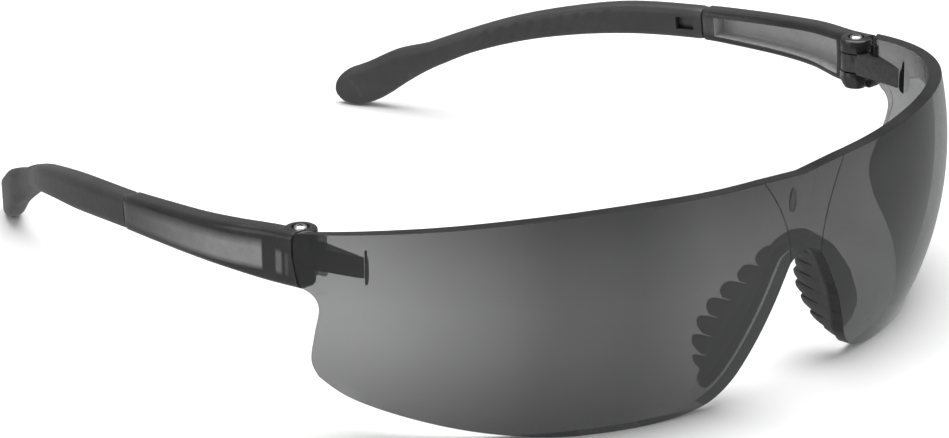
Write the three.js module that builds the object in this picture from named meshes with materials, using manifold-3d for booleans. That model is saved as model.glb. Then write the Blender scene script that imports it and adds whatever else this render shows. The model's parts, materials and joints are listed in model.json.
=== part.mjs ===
// Frameless wraparound safety glasses: one curved lens, a soft nose piece, and two folding
// temples, each with a hinge block, a hinge screw and a rubber tip.
// Millimetres. +X is the wearer's left, -Y is forward, +Z is up, and the floor is z = 0.
import * as THREE from 'three';
import { mergeVertices } from 'three/addons/utils/BufferGeometryUtils.js';
import Module from 'manifold-3d';

const wasm = await Module();
wasm.setup();

const GAP = 0.3;

// Each half of the lens is part of a sphere. Its outline is given as turn about the sphere's
// upright axis, in degrees, and height.
const LENS = {
  radius: 60.6,
  thickness: 2.2,
  centreX: 12.6,
  centreY: 10,
  centreZ: 27.15,
  columns: 30,
  rows: 12,
  rearBevel: 1.8,
};
const LENS_TOP = [[-12, 39.0], [4, 40.2], [22, 40.9], [40, 40.1], [60, 37.8], [78.3, 35.0]];
const LENS_BOTTOM = [
  [-12, 26.2], [-9.2, 25.2], [-7.7, 23.1], [-4.9, 17.4], [-0.8, 8.9], [1.6, 4.7], [5.2, 1.7],
  [10.5, 0.5], [18.5, 0], [31, 0], [45, 1.2], [58, 3.4], [70, 6.3], [75.6, 9.5],
];
const LENS_REAR_LOWER = [[75.6, 9.5], [76.4, 12.5], [75, 17.8], [73.7, 22.7], [74.6, 25.0], [76.9, 26.0]];
const LENS_REAR_UPPER = [[76.9, 26.0], [77.7, 28.3], [78.3, 31.6], [78.3, 35.0]];

// The bridge panel is flat across, between two creases that spread towards the top.
const BRIDGE = { halfWidth: 3.8, spread: 5.8, footZ: 24, topZ: 39.5 };

// Hinge axes stand upright at x = +-HINGE.x, y = 0.
const HINGE = {
  x: 68,
  earRadius: 2.85,
  crownRadius: 2.2,
  crownHeight: 1.1,
  knuckleRadius: 2.7,
  holeRadius: 1.0,
  top: 34.7,
  bottom: 24.6,
  knuckleTop: 31.9,
  knuckleBottom: 28.6,
};
const SCREW = { headRadius: 1.2, shankRadius: 0.7, top: 35.0, headHeight: 1.0, bottom: 25.1 };
const RECESS = { radius: 1.5, depth: 0.9 };
const BAR = { frontAngle: 67.8, rearAngle: 76, innerX: 65.5, bluntness: 0.9, top: 32.7, bottom: 28.3 };
const PLATE = { frontAngle: 74.1, rearAngle: 75.8, thickness: 0.9, setIn: 0.15, top: 34.3, bottom: 26.0 };

// Left temple: centre line and section, from the hinge back to the tip.
const TEMPLE = [
  { x: 69.4, y: -5, z: 30.3, height: 9.6, thickness: 4.2 },
  { x: 70.2, y: 4, z: 29.6, height: 9.3, thickness: 4.3 },
  { x: 71.7, y: 12, z: 29.4, height: 8.3, thickness: 4.4 },
  { x: 72.1, y: 20, z: 28.9, height: 7.5, thickness: 4.4 },
  { x: 71.5, y: 32, z: 28.0, height: 6.7, thickness: 4.4 },
  { x: 70.6, y: 41, z: 27.2, height: 6.2, thickness: 4.4 },
  { x: 67.5, y: 57.5, z: 25.1, height: 6.1, thickness: 4.6 },
  { x: 63.6, y: 69, z: 22.7, height: 5.5, thickness: 4.6 },
  { x: 59.0, y: 79.5, z: 19.7, height: 4.9, thickness: 4.6 },
  { x: 53.9, y: 88.5, z: 16.1, height: 4.5, thickness: 4.5 },
  { x: 50.3, y: 95.5, z: 12.5, height: 5.0, thickness: 4.3 },
  { x: 48.2, y: 102, z: 9.2, height: 6.8, thickness: 4.1 },
  { x: 45.2, y: 108, z: 5.1, height: 7.8, thickness: 3.9 },
  { x: 41.2, y: 114.3, z: 2.2, height: 8.0, thickness: 3.6 },
];
const ARM = { partY: 40, pocketFront: 4.5, pocketRear: 37, rim: 1.4, wall: 1.3, corner: 1.2 };
// Side view of what is cut off the arm's front, as y and height.
const ARM_FRONT_TRIM = [[-12, 20], [-12, 40], [-1.8, 40], [-1.8, 31], [-3.2, 25.5], [-3.2, 20]];
const TONGUE = { end: 58, width: 2.0, height: 2.9, corner: 0.5 };
const TIP = { corner: 1.6, endRounding: 5.7, window: [42, 46], windowHeight: 2.4 };

// Nose piece: a saddle flange behind the lens and two pads with fingers on their rear edges.
const NOSE = {
  inset: 0.6,
  flangeThickness: 1.3,
  padThickness: 1.8,
  splay: 0.14,
  fingers: 7,
  firstFinger: 2.6,
  lastFinger: 26.4,
  fingerDepth: 2.1,
  end: 28.6,
};
// Widths and depths against distance down the nose edge from the top centre.
const FLANGE_WIDTH = [[0, 1.6], [4, 3.2], [8, 4.4], [15, 6.0], [22, 6.6], [26, 6.3], [28.6, 4.6]];
const PAD_DEPTH = [[0, 1.8], [3.2, 3.3], [6.6, 5.3], [10.8, 7.8], [13.7, 9.1], [17.5, 9.4], [21.6, 8.1],
  [24.6, 5.6], [28.6, 1.6]];

const smoke = { color: 0x3f4143, roughness: 0.12, metalness: 0 };
const darkPlastic = { color: 0x2a2b2c, roughness: 0.3, metalness: 0 };
const armPlastic = { color: 0x3a3c3e, roughness: 0.25, metalness: 0 };
const rubber = { color: 0x3c3d3f, roughness: 0.75, metalness: 0 };
const steel = { color: 0xb9bcc0, roughness: 0.25, metalness: 1 };

const radians = THREE.MathUtils.degToRad;

function spline(points) {
  return new THREE.SplineCurve(points.map(([a, b]) => new THREE.Vector2(a, b)));
}

// Value of a smooth profile, given as [distance, value] points, at one distance.
function profileAt(points, distance) {
  const last = points[points.length - 1];
  if (distance >= last[0]) return last[1];
  const next = points.findIndex(([at]) => at > distance);
  const [a, b] = [points[Math.max(next - 1, 0)], points[Math.max(next, 1)]];
  const t = THREE.MathUtils.clamp((distance - a[0]) / (b[0] - a[0]), 0, 1);
  return a[1] + (b[1] - a[1]) * t;
}

// A geometry from vertices and triangles, turned so that its faces point out.
function closedGeometry(vertices, triangles) {
  let volume = 0;
  for (const [a, b, c] of triangles) {
    volume += vertices[a].dot(new THREE.Vector3().crossVectors(vertices[b], vertices[c]));
  }
  const ordered = volume > 0 ? triangles : triangles.map(([a, b, c]) => [a, c, b]);
  const geometry = new THREE.BufferGeometry();
  const positions = vertices.flatMap((v) => [v.x, v.y, v.z]);
  geometry.setAttribute('position', new THREE.Float32BufferAttribute(positions, 3));
  geometry.setIndex(ordered.flat());
  return geometry;
}

// Flat cap over a ring: the ring's points are flattened along its normal and triangulated.
function capTriangles(ring, first, reversed) {
  const normal = new THREE.Vector3();
  ring.forEach((p, i) => {
    const q = ring[(i + 1) % ring.length];
    normal.add(new THREE.Vector3().crossVectors(p, q));
  });
  normal.normalize();
  const side = new THREE.Vector3().subVectors(ring[1], ring[0]).normalize();
  const across = new THREE.Vector3().crossVectors(normal, side);
  const flat = ring.map((p) => new THREE.Vector2(p.dot(side), p.dot(across)));
  return THREE.ShapeUtils.triangulateShape(flat, []).map(([a, b, c]) => {
    const turn = flat[b].clone().sub(flat[a]).cross(flat[c].clone().sub(flat[a]));
    const keep = turn > 0 !== reversed;
    return keep ? [first + a, first + b, first + c] : [first + a, first + c, first + b];
  });
}

// Closed body through rings that have the same number of points.
function loft(rings) {
  const count = rings[0].length;
  const triangles = [];
  for (let r = 0; r + 1 < rings.length; r += 1) {
    for (let i = 0; i < count; i += 1) {
      const j = (i + 1) % count;
      const [a, b] = [r * count + i, r * count + j];
      const [c, d] = [b + count, a + count];
      triangles.push([a, b, c], [a, c, d]);
    }
  }
  triangles.push(...capTriangles(rings[0], 0, true));
  triangles.push(...capTriangles(rings[rings.length - 1], (rings.length - 1) * count, false));
  return closedGeometry(rings.flat(), triangles);
}

// Closed curved plate between two grids of points with the same rows and columns.
function plateBetween(front, back) {
  const rows = front.length;
  const columns = front[0].length;
  const size = rows * columns;
  const vertices = [...front.flat(), ...back.flat()];
  const triangles = [];
  const at = (row, column) => row * columns + column;
  for (let r = 0; r + 1 < rows; r += 1) {
    for (let c = 0; c + 1 < columns; c += 1) {
      const [p, q, s, t] = [at(r, c), at(r, c + 1), at(r + 1, c + 1), at(r + 1, c)];
      triangles.push([p, q, s], [p, s, t], [size + p, size + s, size + q], [size + p, size + t, size + s]);
    }
  }
  const rim = [];
  for (let c = 0; c < columns; c += 1) rim.push(at(0, c));
  for (let r = 1; r < rows; r += 1) rim.push(at(r, columns - 1));
  for (let c = columns - 2; c >= 0; c -= 1) rim.push(at(rows - 1, c));
  for (let r = rows - 2; r > 0; r -= 1) rim.push(at(r, 0));
  rim.forEach((p, i) => {
    const q = rim[(i + 1) % rim.length];
    triangles.push([p, size + q, q], [p, size + p, size + q]);
  });
  return closedGeometry(vertices, triangles);
}

function toManifold(geometry) {
  const bare = geometry.clone();
  bare.deleteAttribute('normal');
  bare.deleteAttribute('uv');
  const merged = mergeVertices(bare, 1e-4);
  return new wasm.Manifold(new wasm.Mesh({
    numProp: 3,
    vertProperties: new Float32Array(merged.attributes.position.array),
    triVerts: new Uint32Array(merged.index.array),
  }));
}

function fromManifold(solid) {
  const { vertProperties, triVerts } = solid.getMesh();
  const geometry = new THREE.BufferGeometry();
  geometry.setAttribute('position', new THREE.BufferAttribute(vertProperties, 3));
  geometry.setIndex(new THREE.BufferAttribute(triVerts, 1));
  return geometry;
}

// The body, joined with the pieces in `joined` and cut by the pieces in `cut`.
function carve(body, joined, cut) {
  let solid = toManifold(body);
  joined.forEach((piece) => { solid = solid.add(toManifold(piece)); });
  cut.forEach((piece) => { solid = solid.subtract(toManifold(piece)); });
  return fromManifold(solid);
}

function mirrored(geometry) {
  const copy = mergeVertices(geometry.clone(), 1e-5);
  copy.scale(-1, 1, 1);
  const index = Array.from(copy.index.array);
  for (let i = 0; i < index.length; i += 3) {
    [index[i], index[i + 1]] = [index[i + 1], index[i]];
  }
  copy.setIndex(index);
  return copy;
}

// Upright cone or cylinder on the left hinge's axis.
function axisCone(bottomRadius, topRadius, bottom, top, sides = 28) {
  const geometry = new THREE.CylinderGeometry(topRadius, bottomRadius, top - bottom, sides);
  geometry.rotateX(Math.PI / 2);
  geometry.translate(HINGE.x, 0, (top + bottom) / 2);
  return geometry;
}

const axisCylinder = (radius, bottom, top, sides) => axisCone(radius, radius, bottom, top, sides);

function uprightPrism(shape, bottom, top) {
  const geometry = new THREE.ExtrudeGeometry(shape, { depth: top - bottom, bevelEnabled: false });
  geometry.translate(0, 0, bottom);
  return geometry;
}

// ---------------------------------------------------------------- lens

const sphereReach = (radius, z) => Math.sqrt(radius ** 2 - (z - LENS.centreZ) ** 2);

function creaseAt(z) {
  const rise = THREE.MathUtils.clamp((z - BRIDGE.footZ) / (BRIDGE.topZ - BRIDGE.footZ), 0, 1);
  return BRIDGE.halfWidth + BRIDGE.spread * rise ** 2;
}

// Point of the left half's front surface at a turn and height. Inside the crease it is flat.
function lensFront(turn, z) {
  const reach = sphereReach(LENS.radius, z);
  const x = Math.max(LENS.centreX + reach * Math.sin(radians(turn)), 0);
  const fromCentre = Math.max(x, creaseAt(z)) - LENS.centreX;
  return new THREE.Vector3(x, LENS.centreY - Math.sqrt(reach ** 2 - fromCentre ** 2), z);
}

// Point behind it on the inner surface, `depth` further in than the lens is thick.
function lensBack(turn, z, depth = 0) {
  const reach = sphereReach(LENS.radius, z);
  const inward = reach - sphereReach(LENS.radius - LENS.thickness, z) + depth;
  const facing = radians(Math.max(turn, 0));
  const offset = new THREE.Vector3(-Math.sin(facing), Math.cos(facing), 0);
  return lensFront(turn, z).addScaledVector(offset, inward);
}

// Left half of the lens as a grid of turn and height, blended from its four edges. Its lowest
// stretch is cut flat at the floor.
function lensGrid() {
  const top = spline(LENS_TOP);
  const bottom = spline(LENS_BOTTOM);
  const rearLower = spline(LENS_REAR_LOWER);
  const rearUpper = spline(LENS_REAR_UPPER);
  const split = rearLower.getLength() / (rearLower.getLength() + rearUpper.getLength());
  const rearAt = (t) => (t < split
    ? rearLower.getPointAt(t / split)
    : rearUpper.getPointAt(Math.min((t - split) / (1 - split), 1)));
  const [archTop, browTop] = [bottom.getPoint(0), top.getPoint(0)];
  const [lowCorner, highCorner] = [bottom.getPoint(1), top.getPoint(1)];
  const grid = [];
  for (let r = 0; r <= LENS.rows; r += 1) {
    const t = r / LENS.rows;
    const centre = archTop.clone().lerp(browTop, t);
    const rear = rearAt(t);
    const row = [];
    for (let c = 0; c <= LENS.columns; c += 1) {
      const s = c / LENS.columns;
      const between = bottom.getPointAt(s).lerp(top.getPointAt(s), t);
      const along = centre.clone().lerp(rear, s);
      const corners = archTop.clone().lerp(lowCorner, s).lerp(browTop.clone().lerp(highCorner, s), t);
      const point = between.add(along).sub(corners);
      point.y = Math.max(point.y, 0);
      row.push(point);
    }
    grid.push(row);
  }
  return grid;
}

function lensGeometry() {
  const bevel = (column) => LENS.rearBevel * (column / LENS.columns) ** 6;
  const surface = (point) => lensGrid().map((row) => {
    const left = row.map(point);
    left[0].x = 0;
    const right = left.slice(1).reverse().map((p) => new THREE.Vector3(-p.x, p.y, p.z));
    return [...right, ...left];
  });
  const front = surface((p) => lensFront(p.x, p.y));
  const back = surface((p, column) => lensBack(p.x - bevel(column), p.y));
  return plateBetween(front, back);
}

// ---------------------------------------------------------------- nose piece

// Section of the left half at one station of the nose edge: a flange behind the lens and a
// pad that runs back from it and leans away from the nose.
function noseSection(edge, outward, flangeWidth, padDepth) {
  const { inset, flangeThickness, padThickness, splay } = NOSE;
  const lean = splay * padDepth;
  const outline = [
    [inset, 0, 0],
    [inset + flangeWidth / 2, 0, 0],
    [inset + flangeWidth, 0, 0],
    [inset + flangeWidth - 0.5, flangeThickness * 0.8, 0],
    [inset + padThickness + 0.6, flangeThickness, 0],
    [inset + padThickness, padDepth, lean],
    [inset, padDepth, lean],
    [inset, padDepth * 0.5, lean * 0.3],
  ];
  return outline.map(([out, back, side]) => {
    const x = edge.x + outward.x * out;
    const z = edge.y + outward.y * out;
    const turn = THREE.MathUtils.radToDeg(Math.asin((x - LENS.centreX) / sphereReach(LENS.radius, z)));
    const seat = lensBack(turn, z, GAP);
    return new THREE.Vector3(x + side, seat.y + back, z);
  });
}

function nosePieceGeometry() {
  // The nose edge in the front view, as x and z, from the top centre down the left side.
  const edge = new THREE.SplineCurve(LENS_BOTTOM.slice(0, 7).map(([turn, z]) => {
    const point = lensFront(turn, z);
    return new THREE.Vector2(point.x, z);
  }));
  const { fingers, firstFinger, lastFinger, fingerDepth, end } = NOSE;
  const pitch = (lastFinger - firstFinger) / fingers;
  // Each finger starts in a notch, then has a square shoulder and a rounded lower side.
  const fingerShape = [[0, fingerDepth], [0.14, 0.2], [0.4, 0], [0.75, 0.5], [0.92, fingerDepth]];
  const stations = [[0, 0], [1.3, 0]];
  for (let finger = 0; finger < fingers; finger += 1) {
    const start = firstFinger + finger * pitch;
    fingerShape.forEach(([share, bite]) => stations.push([start + share * pitch, bite]));
  }
  stations.push([lastFinger, 0], [end, 0]);
  const left = stations.map(([distance, bite]) => {
    const along = distance / edge.getLength();
    const direction = edge.getTangentAt(along);
    const outward = distance === 0
      ? new THREE.Vector2(0, 1)
      : new THREE.Vector2(-direction.y, direction.x);
    const padDepth = profileAt(PAD_DEPTH, distance) - bite;
    return noseSection(edge.getPointAt(along), outward, profileAt(FLANGE_WIDTH, distance), padDepth);
  });
  const right = left.slice(1).reverse().map((ring) => ring.map((p) => new THREE.Vector3(-p.x, p.y, p.z)));
  return loft([...right, ...left]);
}

// ---------------------------------------------------------------- end piece

// Point in plan at a turn about the lens sphere's axis.
function planPoint(turn, radius) {
  const angle = radians(turn);
  return new THREE.Vector2(
    LENS.centreX + radius * Math.sin(angle), LENS.centreY - radius * Math.cos(angle));
}

function endPieceGeometry() {
  const seat = sphereReach(LENS.radius - LENS.thickness, PLATE.top) - GAP;
  const plateSeat = seat - PLATE.setIn;
  const plateShape = new THREE.Shape([
    planPoint(PLATE.frontAngle, plateSeat),
    planPoint(PLATE.rearAngle, plateSeat),
    planPoint(PLATE.rearAngle, plateSeat - PLATE.thickness),
    planPoint(PLATE.frontAngle, plateSeat - PLATE.thickness),
  ]);
  const plate = uprightPrism(plateShape, PLATE.bottom, PLATE.top);
  // The bar is a wedge in plan: its outer side follows the lens and its inner side is straight.
  const barFront = planPoint(BAR.frontAngle, seat);
  const bar = new THREE.Shape([
    barFront,
    planPoint((BAR.frontAngle + BAR.rearAngle) / 2, seat),
    planPoint(BAR.rearAngle, seat),
    new THREE.Vector2(HINGE.x, -HINGE.knuckleRadius * 0.5),
    new THREE.Vector2(HINGE.x - HINGE.knuckleRadius * 0.8, 0),
    new THREE.Vector2(BAR.innerX, barFront.y - BAR.bluntness),
  ]);
  const barBody = uprightPrism(bar, BAR.bottom, BAR.top);
  // The bar narrows to the knuckle's height where it passes between the temple's ears.
  const clearance = HINGE.earRadius + GAP;
  const earRoom = [
    axisCylinder(clearance, HINGE.knuckleTop, HINGE.top),
    axisCylinder(clearance, HINGE.bottom, HINGE.knuckleBottom),
  ];
  const knuckle = axisCylinder(HINGE.knuckleRadius, HINGE.knuckleBottom, HINGE.knuckleTop);
  const hole = axisCylinder(HINGE.holeRadius, HINGE.bottom, HINGE.top, 16);
  return carve(barBody, [plate, knuckle], [...earRoom, hole]);
}

// ---------------------------------------------------------------- temple

const templePath = {
  centre: new THREE.CatmullRomCurve3(TEMPLE.map((s) => new THREE.Vector3(s.x, s.y, s.z))),
  size: new THREE.CatmullRomCurve3(TEMPLE.map((s) => new THREE.Vector3(s.thickness, s.height, 0))),
};

// Curve parameter of the centre line where it passes a given y.
function paramAtY(y) {
  let [low, high] = [0, 1];
  for (let i = 0; i < 40; i += 1) {
    const middle = (low + high) / 2;
    if (templePath.centre.getPoint(middle).y < y) low = middle;
    else high = middle;
  }
  return (low + high) / 2;
}

// Rounded rectangle as [across, up] points, starting at its lower outer corner.
function roundedSection(width, height, corner, steps = 3) {
  const radius = Math.min(corner, width / 2 - 0.05, height / 2 - 0.05);
  const points = [];
  const centres = [[1, -1, -90], [1, 1, 0], [-1, 1, 90], [-1, -1, 180]];
  for (const [sx, sy, start] of centres) {
    for (let i = 0; i <= steps; i += 1) {
      const angle = radians(start + (90 * i) / steps);
      const across = sx * (width / 2 - radius) + radius * Math.cos(angle);
      const up = sy * (height / 2 - radius) + radius * Math.sin(angle);
      points.push([across, up]);
    }
  }
  return points;
}

// Ring of a section standing across the centre line at one parameter.
function ringAt(param, outline, shift = 0) {
  const centre = templePath.centre.getPoint(param);
  const forward = templePath.centre.getTangent(param);
  const across = new THREE.Vector3(forward.y, -forward.x, 0).normalize();
  const up = new THREE.Vector3().crossVectors(across, forward).normalize();
  return outline.map(([side, rise]) => centre.clone()
    .addScaledVector(across, side + shift)
    .addScaledVector(up, rise));
}

const sizeAt = (param) => templePath.size.getPoint(param);

function templeBody(fromY, toY, steps, shape) {
  const [from, to] = [paramAtY(fromY), paramAtY(toY)];
  const rings = [];
  for (let i = 0; i <= steps; i += 1) {
    const param = from + ((to - from) * i) / steps;
    rings.push(shape(param));
  }
  return loft(rings);
}

function tongue(clearance, fromY, toY) {
  const outline = roundedSection(
    TONGUE.width + 2 * clearance, TONGUE.height + 2 * clearance, TONGUE.corner + clearance, 2);
  return templeBody(fromY, toY, 8, (param) => ringAt(param, outline));
}

function armGeometry() {
  const body = templeBody(-4.5, ARM.partY - GAP / 2, 16, (param) => {
    const size = sizeAt(param);
    return ringAt(param, roundedSection(size.x, size.y, ARM.corner));
  });
  // The pocket opens on the inner side and leaves the outer wall and two rims.
  const pocket = templeBody(ARM.pocketFront, ARM.pocketRear, 12, (param) => {
    const size = sizeAt(param);
    return ringAt(param, roundedSection(size.x, size.y - 2 * ARM.rim, 0.6, 2), -ARM.wall);
  });
  // The front end stops short of the lens's rear edge, which slopes from top to bottom.
  const front = new THREE.Shape(ARM_FRONT_TRIM.map(([y, z]) => new THREE.Vector2(y, z)));
  const frontCut = new THREE.ExtrudeGeometry(front, { depth: 20, bevelEnabled: false });
  frontCut.rotateZ(Math.PI / 2);
  frontCut.rotateY(Math.PI / 2);
  frontCut.applyMatrix4(new THREE.Matrix4().makeTranslation(60, 0, 0));
  const crownBase = HINGE.top - HINGE.crownHeight;
  const ears = [
    axisCylinder(HINGE.earRadius, HINGE.knuckleTop + GAP, crownBase),
    axisCone(HINGE.earRadius, HINGE.crownRadius, crownBase - 0.2, HINGE.top),
    axisCylinder(HINGE.earRadius, HINGE.bottom, HINGE.knuckleBottom - GAP),
  ];
  const knuckleRoom = axisCylinder(
    HINGE.knuckleRadius + GAP, HINGE.knuckleBottom - GAP, HINGE.knuckleTop + GAP);
  const hole = axisCylinder(HINGE.holeRadius, HINGE.bottom - 1, HINGE.top + 1, 16);
  const recess = axisCylinder(RECESS.radius, HINGE.top - RECESS.depth, HINGE.top + 1, 20);
  const trimmed = carve(body, [], [frontCut]);
  return carve(trimmed, [...ears, tongue(0, ARM.pocketRear, TONGUE.end)], [pocket, knuckleRoom, hole, recess]);
}

function tipGeometry() {
  const from = paramAtY(ARM.partY + GAP / 2);
  const steps = 30;
  const rings = [];
  for (let i = 0; i <= steps; i += 1) {
    const param = from + (1 - from) * Math.sin((i / steps) * Math.PI / 2) ** 0.9;
    const size = sizeAt(param);
    // Towards the end the section shrinks along a quarter circle, so the tip is round.
    const left = templePath.centre.getPoint(param).distanceTo(templePath.centre.getPoint(1));
    const inEnd = THREE.MathUtils.clamp(1 - left / TIP.endRounding, 0, 0.985);
    const shrink = Math.sqrt(1 - inEnd ** 2);
    rings.push(ringAt(param, roundedSection(size.x * shrink, size.y * shrink, TIP.corner * shrink)));
  }
  const body = loft(rings);
  const cavity = tongue(GAP, ARM.partY - 2, TONGUE.end + GAP);
  const windowCut = templeBody(TIP.window[0], TIP.window[1], 2, (param) => ringAt(
    param, roundedSection(sizeAt(param).x, TIP.windowHeight, 0.4, 2), -sizeAt(param).x / 2));
  const floor = new THREE.BoxGeometry(60, 60, 10);
  floor.translate(45, 105, -5);
  return carve(body, [], [cavity, windowCut, floor]);
}

// ---------------------------------------------------------------- screw

function screwGeometry() {
  const { headRadius, shankRadius, top, headHeight, bottom } = SCREW;
  const profile = [new THREE.Vector2(0, bottom), new THREE.Vector2(shankRadius, bottom)];
  profile.push(new THREE.Vector2(shankRadius, top - headHeight));
  profile.push(new THREE.Vector2(headRadius, top - headHeight));
  for (let i = 1; i <= 4; i += 1) {
    const angle = (i / 5) * (Math.PI / 2);
    profile.push(new THREE.Vector2(headRadius * Math.cos(angle), top - 0.5 + 0.5 * Math.sin(angle)));
  }
  profile.push(new THREE.Vector2(0, top));
  const geometry = new THREE.LatheGeometry(profile, 20);
  geometry.rotateX(Math.PI / 2);
  geometry.translate(HINGE.x, 0, 0);
  return geometry;
}

// ---------------------------------------------------------------- assembly

const glasses = new THREE.Group();

function addPiece(name, geometry, material) {
  const mesh = new THREE.Mesh(geometry, new THREE.MeshStandardMaterial(material));
  mesh.name = name;
  glasses.add(mesh);
}

function addPair(name, geometry, material) {
  addPiece(`left_${name}`, geometry, material);
  addPiece(`right_${name}`, mirrored(geometry), material);
}

addPiece('lens', lensGeometry(), smoke);
addPiece('nose_piece', nosePieceGeometry(), rubber);
addPair('end_piece', endPieceGeometry(), darkPlastic);
addPair('temple_arm', armGeometry(), armPlastic);
addPair('temple_tip', tipGeometry(), rubber);
addPair('hinge_screw', screwGeometry(), steel);

// The row's origin is under the middle of the glasses.
const bounds = new THREE.Box3().setFromObject(glasses);
glasses.position.y = -(bounds.min.y + bounds.max.y) / 2;

export default glasses;
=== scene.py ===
"""Frameless wraparound safety glasses: the finished looks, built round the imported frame.

Shapes are worked out in millimetres: x from the middle, y from the hinge axes and z from the floor. They
are placed in the row frame in metres. What comes in pairs is made on the left and mirrored to the right.
"""
import json
import math

import bmesh
import bpy
import numpy as np
from mathutils import Matrix, Vector


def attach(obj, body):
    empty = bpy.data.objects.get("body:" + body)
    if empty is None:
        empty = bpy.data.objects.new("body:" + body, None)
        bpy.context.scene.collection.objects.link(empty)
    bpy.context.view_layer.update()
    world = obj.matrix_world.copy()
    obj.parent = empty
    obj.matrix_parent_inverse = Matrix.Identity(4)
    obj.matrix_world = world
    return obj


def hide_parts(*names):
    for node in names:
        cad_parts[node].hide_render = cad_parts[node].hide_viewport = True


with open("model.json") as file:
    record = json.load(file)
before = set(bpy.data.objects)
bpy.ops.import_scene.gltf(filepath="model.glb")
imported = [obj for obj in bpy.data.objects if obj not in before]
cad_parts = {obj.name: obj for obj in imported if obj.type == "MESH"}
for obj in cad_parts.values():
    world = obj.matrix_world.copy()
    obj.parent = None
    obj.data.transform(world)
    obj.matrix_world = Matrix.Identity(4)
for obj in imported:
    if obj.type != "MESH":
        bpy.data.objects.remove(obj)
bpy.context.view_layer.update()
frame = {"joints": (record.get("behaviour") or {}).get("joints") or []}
MM = 0.001
LEFT_JOINT = next(j for j in frame["joints"] if j["name"] == "left_temple_fold")
HINGE_X = LEFT_JOINT["pos_m"][0] / MM
HINGE_Y = LEFT_JOINT["pos_m"][1] / MM
scene = bpy.context.scene

# Lens: two sphere halves, an outline in turn (degrees) and height, and a flat bridge panel.
RADIUS, THICKNESS, CENTRE = 60.6, 2.2, (12.6, 10.0, 27.15)
TOP = [(-12, 39.0), (4, 40.2), (22, 40.9), (40, 40.1), (60, 37.8), (78.3, 35.0)]
BOTTOM = [(-12, 25.6), (-9.2, 24.6), (-7.7, 22.8), (-4.9, 17.4), (-0.8, 8.9), (1.6, 4.7), (5.2, 1.7),
          (10.5, 0.5), (18.5, 0), (31, 0), (45, 1.2), (58, 3.4), (70, 6.3), (75.6, 9.5)]
PANEL_HALF, PANEL_SPREAD, PANEL_FOOT, PANEL_HEIGHT = 3.8, 5.8, 24, 15.5
REAR_LOWER = [(75.6, 9.5), (76.4, 12.5), (75, 17.8), (73.7, 22.7), (74.6, 25.0), (76.9, 26.0)]
REAR_UPPER = [(76.9, 26.0), (77.7, 28.3), (78.3, 31.6), (78.3, 35.0)]

# Left temple: x, y, z, height and thickness of its section, from the hinge to the tip.
TEMPLE = [(69.4, -5, 30.3, 9.6, 4.2), (70.2, 4, 29.6, 9.3, 4.3), (71.7, 12, 29.4, 8.3, 4.4),
          (72.1, 20, 28.9, 7.5, 4.4), (71.5, 32, 28.0, 6.7, 4.4), (70.6, 41, 27.2, 6.2, 4.4),
          (67.5, 57.5, 25.1, 6.1, 4.6), (63.6, 69, 22.7, 5.5, 4.6), (59.0, 79.5, 19.7, 4.9, 4.6),
          (53.9, 88.5, 16.1, 4.5, 4.5), (50.3, 95.5, 12.5, 5.0, 4.3), (48.2, 102, 9.2, 6.8, 4.1),
          (45.2, 108, 5.1, 7.8, 3.9), (41.2, 114.3, 2.2, 8.0, 3.6)]

# ------------------------------------------------------------------ curves


def uniform_curve(points, t):
    """Points of a uniform Catmull-Rom curve at parameters t."""
    p = np.array(points, float)
    n = len(p)
    u = np.clip(np.asarray(t, float), 0, 1) * (n - 1)
    i = np.minimum(u.astype(int), n - 1)
    w = (u - i)[:, None]
    a, b = p[np.maximum(i - 1, 0)], p[i]
    c, d = p[np.minimum(i + 1, n - 1)], p[np.minimum(i + 2, n - 1)]
    v0, v1 = (c - a) / 2, (d - b) / 2
    return (2 * b - 2 * c + v0 + v1) * w**3 + (-3 * b + 3 * c - 2 * v0 - v1) * w**2 + v0 * w + b


def arc_table(points, steps=1200):
    """Dense points of a curve and the distance along it of each."""
    dense = uniform_curve(points, np.linspace(0, 1, steps))
    return dense, np.concatenate([[0], np.cumsum(np.linalg.norm(np.diff(dense, axis=0), axis=1))])


def by_share(points, share):
    """Points of a curve at shares of its length."""
    dense, distance = arc_table(points)
    at = np.asarray(share, float) * distance[-1]
    return np.stack([np.interp(at, distance, dense[:, k]) for k in range(dense.shape[1])], 1)


def centripetal(points, t):
    """Points of a centripetal Catmull-Rom curve at parameters t."""
    p = np.array(points, float)
    n = len(p)
    p = np.vstack([2 * p[0] - p[1], p, 2 * p[-1] - p[-2]])
    u = np.clip(np.asarray(t, float), 0, 1) * (n - 1)
    i = np.minimum(u.astype(int), n - 2)
    w = (u - i)[:, None]
    x0, x1, x2, x3 = p[i], p[i + 1], p[i + 2], p[i + 3]
    d0, d1, d2 = (np.linalg.norm(q - r, axis=1)[:, None] ** 0.5 for q, r in ((x1, x0), (x2, x1), (x3, x2)))
    t1 = ((x1 - x0) / d0 - (x2 - x0) / (d0 + d1) + (x2 - x1) / d1) * d1
    t2 = ((x2 - x1) / d1 - (x3 - x1) / (d1 + d2) + (x3 - x2) / d2) * d1
    return x1 + t1 * w + (-3 * x1 + 3 * x2 - 2 * t1 - t2) * w**2 + (2 * x1 - 2 * x2 + t1 + t2) * w**3


# ------------------------------------------------------------------ meshes


def make(name, points, faces, materials=()):
    """Mesh object from points in millimetres, with y measured from the hinge axes."""
    row = np.array(points, float) + (0, HINGE_Y, 0)
    mesh = bpy.data.meshes.new(name)
    mesh.from_pydata((row * MM).tolist(), [], [tuple(f) for f in faces])
    for m in materials:
        mesh.materials.append(m)
    obj = bpy.data.objects.new(name, mesh)
    scene.collection.objects.link(obj)
    tidy(obj)
    return obj


def tidy(obj):
    """Merges doubled points and turns the faces outwards."""
    bm = bmesh.new()
    bm.from_mesh(obj.data)
    bmesh.ops.remove_doubles(bm, verts=bm.verts, dist=2e-6)
    bmesh.ops.recalc_face_normals(bm, faces=bm.faces)
    bm.to_mesh(obj.data)
    bm.free()


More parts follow.
